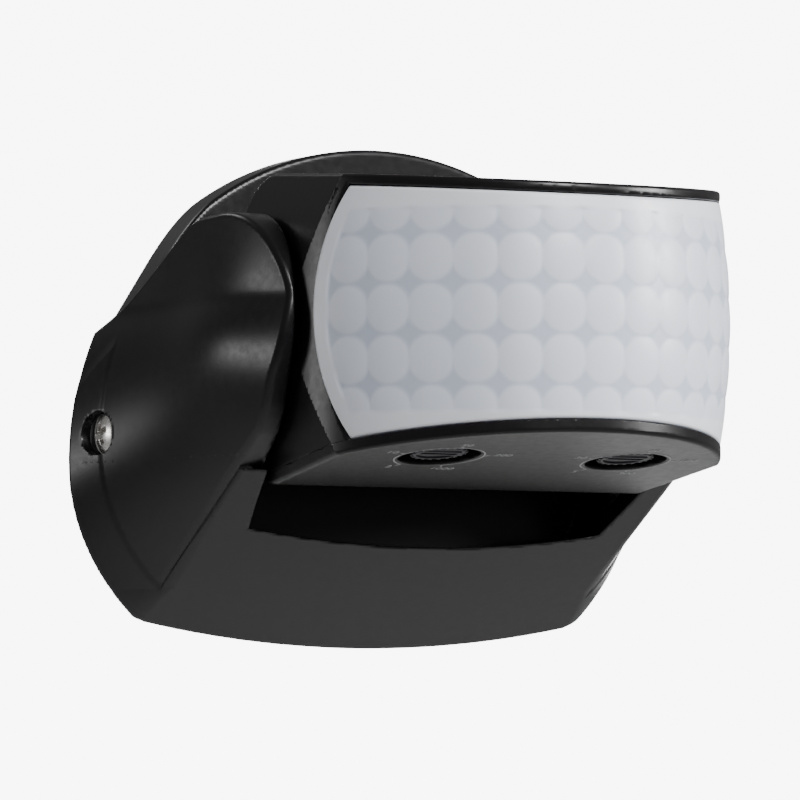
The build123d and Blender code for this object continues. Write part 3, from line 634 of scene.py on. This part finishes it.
def print_strip(outline_in, outline_out):
    """A thin closed band between two outlines of the same number of points, in the underside's plane."""
    n = len(outline_in)
    low = [(*p, 0.0) for p in outline_in] + [(*p, 0.0) for p in outline_out]
    high = [(x, y, PRINT_T) for x, y, _ in low]
    points = np.array(low + high)
    faces = []
    for i in range(n - 1):
        a, b, c, d = i, i + 1, n + i + 1, n + i
        faces.append((a + 2 * n, b + 2 * n, c + 2 * n, d + 2 * n))
        faces.append((d, c, b, a))
        faces.append((a, b, b + 2 * n, a + 2 * n))
        faces.append((c, d, d + 2 * n, c + 2 * n))
    for i in (0, n - 1):
        end = (i, n + i, 3 * n + i, 2 * n + i)
        faces.append(end if i else end[::-1])
    return points, np.array(faces)


def place_under(piece, x):
    """Moves a piece drawn in the underside's plane, round the middle of a dial, to its place."""
    piece.matrix_world = UNDER @ Matrix.Translation((x * MM, 0, 0))
    bpy.context.view_layer.update()


def scale_print(name, x, numbers, material):
    parts = []
    sweep = np.radians(np.linspace(-150, 150, 97))
    ring_in = [(RING_R * math.sin(a), RING_R * math.cos(a)) for a in sweep]
    ring_out = [((RING_R + RING_W) * math.sin(a), (RING_R + RING_W) * math.cos(a)) for a in sweep]
    parts.append(add_mesh(name + "_ring", *print_strip(ring_out, ring_in)))
    for k, degrees in enumerate(TICK_ANGLES):
        a = math.radians(degrees)
        along = Vector((math.sin(a), math.cos(a)))
        side = Vector((along.y, -along.x)) * 0.14
        ends = [along * r for r in (RING_R + RING_W, RING_R + 0.95)]
        tick = print_strip([tuple(e - side) for e in ends], [tuple(e + side) for e in ends])
        parts.append(add_mesh(f"{name}_tick_{k}", *tick))
        text = bpy.data.curves.new(f"{name}_number_{k}", "FONT")
        text.body = numbers[k]
        text.size = 1.75 * MM
        text.align_x, text.align_y = "CENTER", "CENTER"
        text.extrude = PRINT_T / 2 * MM
        label = bpy.data.objects.new(f"{name}_number_{k}", text)
        bpy.context.scene.collection.objects.link(label)
        reach = RING_R + 1.85 + 0.28 * len(numbers[k]) * abs(math.sin(a))
        label.location = (reach * math.sin(a) * MM, reach * math.cos(a) * MM, PRINT_T / 2 * MM)
        parts.append(label)
    bpy.ops.object.select_all(action="DESELECT")
    for part in parts:
        part.select_set(True)
    bpy.context.view_layer.objects.active = parts[-1]
    bpy.ops.object.convert(target="MESH")
    bpy.context.view_layer.objects.active = parts[0]
    bpy.ops.object.join()
    piece = bpy.context.view_layer.objects.active
    piece.name = name
    place_under(piece, x)
    return settle(piece, [], "head", material)


# ---- materials ----

class Nodes:
    """A material's nodes, with short calls to add and join them."""

    def __init__(self, name):
        self.material = bpy.data.materials.new(name)
        self.material.use_nodes = True
        self.tree = self.material.node_tree
        self.shader = self.tree.nodes["Principled BSDF"]
        self.place = self.tree.nodes.new("ShaderNodeTexCoord").outputs["Object"]

    def set(self, **values):
        for key, value in values.items():
            self.shader.inputs[key.replace("_", " ")].default_value = value

    def noise(self, scale, detail=3.0, roughness=0.55):
        node = self.tree.nodes.new("ShaderNodeTexNoise")
        node.inputs["Scale"].default_value = scale
        node.inputs["Detail"].default_value = detail
        node.inputs["Roughness"].default_value = roughness
        self.tree.links.new(self.place, node.inputs["Vector"])
        return node.outputs["Fac"]

    def attribute(self, name):
        node = self.tree.nodes.new("ShaderNodeAttribute")
        node.attribute_name = name
        return node.outputs["Fac"]

    def to_range(self, value, low, high, from_low=0.3, from_high=0.7):
        node = self.tree.nodes.new("ShaderNodeMapRange")
        node.inputs["From Min"].default_value = from_low
        node.inputs["From Max"].default_value = from_high
        node.inputs["To Min"].default_value = low
        node.inputs["To Max"].default_value = high
        self.tree.links.new(value, node.inputs["Value"])
        return node.outputs["Result"]

    def mix(self, value, first, second):
        node = self.tree.nodes.new("ShaderNodeMix")
        node.data_type = "RGBA"
        self.tree.links.new(value, node.inputs["Factor"])
        for key, colour in (("A", first), ("B", second)):
            socket = next(s for s in node.inputs if s.name == key and s.type == "RGBA")
            if isinstance(colour, tuple):
                socket.default_value = (*colour, 1)
            else:
                self.tree.links.new(colour, socket)
        return next(s for s in node.outputs if s.type == "RGBA")

    def bump(self, value, distance, strength=1.0, under=None):
        node = self.tree.nodes.new("ShaderNodeBump")
        node.inputs["Distance"].default_value = distance
        node.inputs["Strength"].default_value = strength
        self.tree.links.new(value, node.inputs["Height"])
        if under is not None:
            self.tree.links.new(under, node.inputs["Normal"])
        return node.outputs["Normal"]

    def link(self, **outputs):
        for key, output in outputs.items():
            self.tree.links.new(output, self.shader.inputs[key.replace("_", " ")])
        return self.material


def moulded_plastic(name, colour, variation, roughness, grain=4200, grain_depth=0.004):
    """Injection-moulded plastic with a fine spark-eroded grain, in metres of relief times MM."""
    nodes = Nodes(name)
    wide = nodes.noise(45, 4)
    fine = nodes.noise(grain, 2)
    drift = nodes.to_range(wide, 0, 1)
    base = nodes.mix(drift, colour, tuple(c * variation for c in colour))
    grain_normal = nodes.bump(fine, grain_depth * MM)
    wave_normal = nodes.bump(nodes.noise(140, 2), 0.006 * MM, 1.0, grain_normal)
    nodes.set(IOR=1.5, Specular_IOR_Level=0.3)
    rough = nodes.to_range(nodes.noise(900, 3), roughness * 0.92, roughness * 1.1)
    return nodes.link(Base_Color=base, Roughness=rough, Normal=wave_normal)


def milky_lens():
    nodes = Nodes("milky_lens_plastic")
    drift = nodes.to_range(nodes.noise(60, 4), 0, 1)
    # Painted light and shade: the gaps between the lenslets are painted darker and bluish, and the lenslets
    # lighter. This stands in for the shading of the lenslets seen through the milky plastic.
    between = nodes.mix(drift, (0.50, 0.55, 0.66), (0.53, 0.57, 0.67))
    painted_lit_pads = nodes.mix(drift, (0.66, 0.70, 0.79), (0.69, 0.72, 0.80))
    zone = nodes.mix(nodes.to_range(nodes.attribute("pad"), 0, 1, 0.0, 0.35), between, painted_lit_pads)
    # Painted light: the smooth margin is painted lighter than the patterned zone. This stands in for the
    # brighter light that comes through the lens's edge band.
    base = nodes.mix(nodes.attribute("margin"), zone, (0.76, 0.78, 0.84))
    grain = nodes.bump(nodes.noise(2600, 2), 0.002 * MM)
    nodes.set(IOR=1.49, Subsurface_Weight=0.35, Subsurface_Scale=0.0012)
    nodes.shader.inputs["Subsurface Radius"].default_value = (1.0, 1.1, 1.25)
    rough = nodes.to_range(nodes.noise(500, 3), 0.34, 0.42)
    return nodes.link(Base_Color=base, Roughness=rough, Normal=grain)


def metal(name, colour, roughness, brushed=900):
    nodes = Nodes(name)
    drift = nodes.to_range(nodes.noise(600, 4), 0, 1)
    base = nodes.mix(drift, colour, tuple(c * 0.82 for c in colour))
    nodes.set(Metallic=1.0)
    rough = nodes.to_range(nodes.noise(brushed * 3, 3), roughness * 0.8, roughness * 1.35)
    scratches = nodes.bump(nodes.noise(brushed * 4, 2), 0.003 * MM)
    return nodes.link(Base_Color=base, Roughness=rough, Normal=scratches)


def build_materials():
    """One material for each slot of the record."""
    return {
        "black_plastic": moulded_plastic("black_satin_plastic", (0.0042, 0.0036, 0.0042), 1.25, 0.30),
        "dark_plastic": moulded_plastic("dark_satin_plastic", (0.010, 0.0095, 0.011), 1.3, 0.42),
        "seal_rubber": moulded_plastic("seal_rubber", (0.012, 0.012, 0.012), 1.4, 0.75),
        "white_plastic": moulded_plastic("white_terminal_plastic", (0.72, 0.72, 0.69), 0.93, 0.42),
        "brass": metal("brass", (0.78, 0.57, 0.28), 0.28),
        "zinc_steel": metal("zinc_steel", (0.71, 0.69, 0.66), 0.26),
        "lead_sleeve": moulded_plastic("lead_sleeve", (0.42, 0.05, 0.04), 0.85, 0.45),
        "board_green": moulded_plastic("board_green", (0.015, 0.13, 0.045), 0.7, 0.35),
        "capacitor_yellow": moulded_plastic("capacitor_yellow", (0.75, 0.45, 0.04), 0.88, 0.35),
        "capacitor_sleeve": moulded_plastic("capacitor_sleeve", (0.015, 0.03, 0.09), 1.3, 0.3),
        "varistor_blue": moulded_plastic("varistor_blue", (0.02, 0.07, 0.32), 0.85, 0.35),
        "pot_blue": moulded_plastic("pot_blue", (0.03, 0.12, 0.40), 0.9, 0.4),
        "can_metal": metal("can_metal", (0.80, 0.78, 0.72), 0.22),
        "ir_filter": moulded_plastic("ir_filter", (0.02, 0.012, 0.02), 1.2, 0.12),
        "led_red": moulded_plastic("led_red", (0.55, 0.02, 0.015), 0.9, 0.15),
        "dial_plastic": moulded_plastic("dial_plastic", (0.018, 0.017, 0.021), 1.35, 0.40),
        "lens_plastic": milky_lens(),
    }


MATERIALS = build_materials()
PRINT = moulded_plastic("scale_print", (0.46, 0.46, 0.47), 0.8, 0.6)


# ---- pieces ----

def build_pieces():
    for node, field, step, body in (
        ("bracket_housing", housing_field, 0.45, "bracket"),
        ("arm_cover_right", arm_cover_field, 0.4, "bracket"),
        ("arm_cover_left", mirrored(arm_cover_field), 0.4, "bracket"),
        ("head_shell", shell_field, 0.42, "head"),
        ("head_base", base_field, 0.36, "head"),
    ):
        add_form(field, node, step, body, "black_plastic")
    build_lens(MATERIALS["lens_plastic"])

    dial = contour(dial_field, (-4.1, -4.1, 0.1), (4.1, 4.1, 7.5), 0.14)
    for name, x, body in (("lux_dial", -DIAL_X, "lux_adjuster"), ("time_dial", DIAL_X, "time_adjuster")):
        piece = add_mesh(name + "_knurled", *dial)
        flip = Matrix.Diagonal((1, 1, -1, 1))
        piece.data.transform(flip)
        piece.data.flip_normals()
        place_under(piece, x)
        settle(piece, [name], body, MATERIALS["dial_plastic"])
    scale_print("lux_scale", -DIAL_X, LUX_NUMBERS, PRINT)
    scale_print("time_scale", DIAL_X, TIME_NUMBERS, PRINT)

    screw = contour(cross_screw_field, (-3, -3, -8.4), (3, 3, 0.2), 0.11)
    pieces = []
    for sign in (1, -1):
        piece = add_mesh(f"cover_screw_{'right' if sign > 0 else 'left'}", *screw)
        turn = Matrix.Rotation(sign * math.pi / 2, 4, "Y") @ Matrix.Rotation(0.35, 4, "Z")
        spot = Vector((sign * COVER_SCREW[0], COVER_SCREW[1], COVER_SCREW[2])) * MM
        piece.matrix_world = Matrix.Translation(spot) @ turn
        bpy.context.view_layer.update()
        pieces.append(piece)
    settle(pieces[0], ["cover_screws"], "bracket", MATERIALS["zinc_steel"])
    settle(pieces[1], [], "bracket", MATERIALS["zinc_steel"])


SLOT_OF_NODE = {
    node: slot
    for slot, nodes in {
        "dark_plastic": ["base_plate"],
        "seal_rubber": ["wall_seal", "cable_grommet", "head_seal",
                        "friction_washer_right", "friction_washer_left"],
        "white_plastic": ["terminal_block", "lens_frame", "lead_connector"],
        "brass": ["terminal_clamps"],
        "zinc_steel": ["terminal_screws", "arm_cover_screws", "pivot_clip_right", "pivot_clip_left",
                       "board_screws", "head_screws"],
        "lead_sleeve": ["base_leads", "head_leads"],
        "board_green": ["power_board", "sensor_board"],
        "capacitor_yellow": ["film_capacitor"],
        "capacitor_sleeve": ["electrolytic_capacitor", "relay"],
        "varistor_blue": ["varistor"],
        "pot_blue": ["lux_pot", "time_pot"],
        "can_metal": ["pyro_sensor"],
        "ir_filter": ["pyro_window", "photocell"],
        "led_red": ["indicator_led"],
    }.items()
    for node in nodes
}


def dress_cad_nodes():
    """Gives every CAD node that is still shown its slot's material."""
    for node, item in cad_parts.items():
        if item.hide_render:
            continue
        wanted = SLOT_OF_NODE.get(node, "dark_plastic")
        item.data.materials.clear()
        item.data.materials.append(MATERIALS[wanted])


# ---- studio ----

CAMERA_TURN = math.radians(28.0)
CAMERA_DROP = math.radians(3.5)
CAMERA_DISTANCE = 0.9
CAMERA_LENS = 310.1
CAMERA_TARGET = Vector((0, -35, 17.8)) * MM
CAMERA_SHIFT_RIGHT = -10.46 * MM
CAMERA_SHIFT_UP = -10.0 * MM
FLOOR_Z = -0.25
BACKDROP_DISTANCE = 1.2
BACKDROP_Z = 0.07
WORLD_STRENGTH = 0.2

# Name, place, aim, width, height, power and spread in degrees
LIGHTS = [
    ("key_front", (0.25, -1.25, 0.75), (0, -0.06, 0.02), 0.45, 0.35, 1.25, 36),
    ("key_right", (1.1, -0.7, 0.35), (0, -0.06, 0.02), 0.4, 0.4, 1.2, 36),
    ("hub_left", (-1.0, 0.47, 0.06), (0, -0.03, 0.01), 0.2, 0.2, 0.12, 50),
    ("rim_top", (-0.35, 0.7, 0.75), (0, -0.02, 0.02), 0.3, 0.3, 0.14, 50),
]


def add_camera():
    back = Vector((
        -math.sin(CAMERA_TURN) * math.cos(CAMERA_DROP),
        -math.cos(CAMERA_TURN) * math.cos(CAMERA_DROP),
        -math.sin(CAMERA_DROP),
    ))
    right = Vector((math.cos(CAMERA_TURN), -math.sin(CAMERA_TURN), 0))
    up = back.cross(right)
    aim = CAMERA_TARGET + right * CAMERA_SHIFT_RIGHT + up * CAMERA_SHIFT_UP
    data = bpy.data.cameras.new("camera")
    data.sensor_width = 36
    data.lens = CAMERA_LENS
    data.clip_start, data.clip_end = 0.05, 20
    camera = bpy.data.objects.new("camera", data)
    camera.location = aim + back * CAMERA_DISTANCE
    camera.rotation_mode = "QUATERNION"
    camera.rotation_quaternion = (aim - camera.location).to_track_quat("-Z", "Y")
    bpy.context.scene.collection.objects.link(camera)
    bpy.context.scene.camera = camera


def add_light(name, place, aim, width, height, power, spread):
    data = bpy.data.lights.new(name, "AREA")
    data.spread = math.radians(spread)
    data.shape = "RECTANGLE"
    data.size, data.size_y = width, height
    data.energy = power
    light = bpy.data.objects.new(name, data)
    light.location = place
    light.rotation_mode = "QUATERNION"
    light.rotation_quaternion = (Vector(aim) - Vector(place)).to_track_quat("-Z", "Y")
    bpy.context.scene.collection.objects.link(light)


def add_panel(name, material_name, middle, right, up, half, glow):
    """A flat, pale, matt square of the studio that may give light of its own."""
    mesh = bpy.data.meshes.new(name)
    corners = [middle + right * a * half + up * b * half for a, b in ((-1, -1), (1, -1), (1, 1), (-1, 1))]
    mesh.from_pydata([tuple(c) for c in corners], [], [(0, 1, 2, 3)])
    panel = bpy.data.objects.new(name, mesh)
    nodes = Nodes(material_name)
    nodes.set(Roughness=0.8, Emission_Strength=glow)
    nodes.shader.inputs["Emission Color"].default_value = (1, 1, 1, 1)
    shade = nodes.mix(nodes.to_range(nodes.noise(3, 3), 0, 1), (0.86, 0.86, 0.86), (0.9, 0.9, 0.9))
    mesh.materials.append(nodes.link(Base_Color=shade))
    bpy.context.scene.collection.objects.link(panel)


def add_floor():
    add_panel("floor", "pale_floor", Vector((0, 0, FLOOR_Z)), Vector((1, 0, 0)), Vector((0, 1, 0)), 3.0, 0.0)


def add_backdrop():
    """A lit white panel behind the sensor, square to the camera, which fills the picture."""
    ahead = Vector((math.sin(CAMERA_TURN), math.cos(CAMERA_TURN), 0))
    right = Vector((ahead.y, -ahead.x, 0))
    up = Vector((0, 0, 1))
    middle = ahead * BACKDROP_DISTANCE + up * BACKDROP_Z
    add_panel("backdrop", "lit_backdrop", middle, right, up, 0.2, 8.0)


def add_world():
    world = bpy.data.worlds.new("studio")
    bpy.context.scene.world = world
    world.use_nodes = True
    background = world.node_tree.nodes["Background"]
    background.inputs["Color"].default_value = (1, 1, 1, 1)
    background.inputs["Strength"].default_value = WORLD_STRENGTH


def build_studio():
    add_camera()
    add_floor()
    add_backdrop()
    add_world()
    for light in LIGHTS:
        add_light(*light)


build_pieces()
dress_cad_nodes()
build_studio()
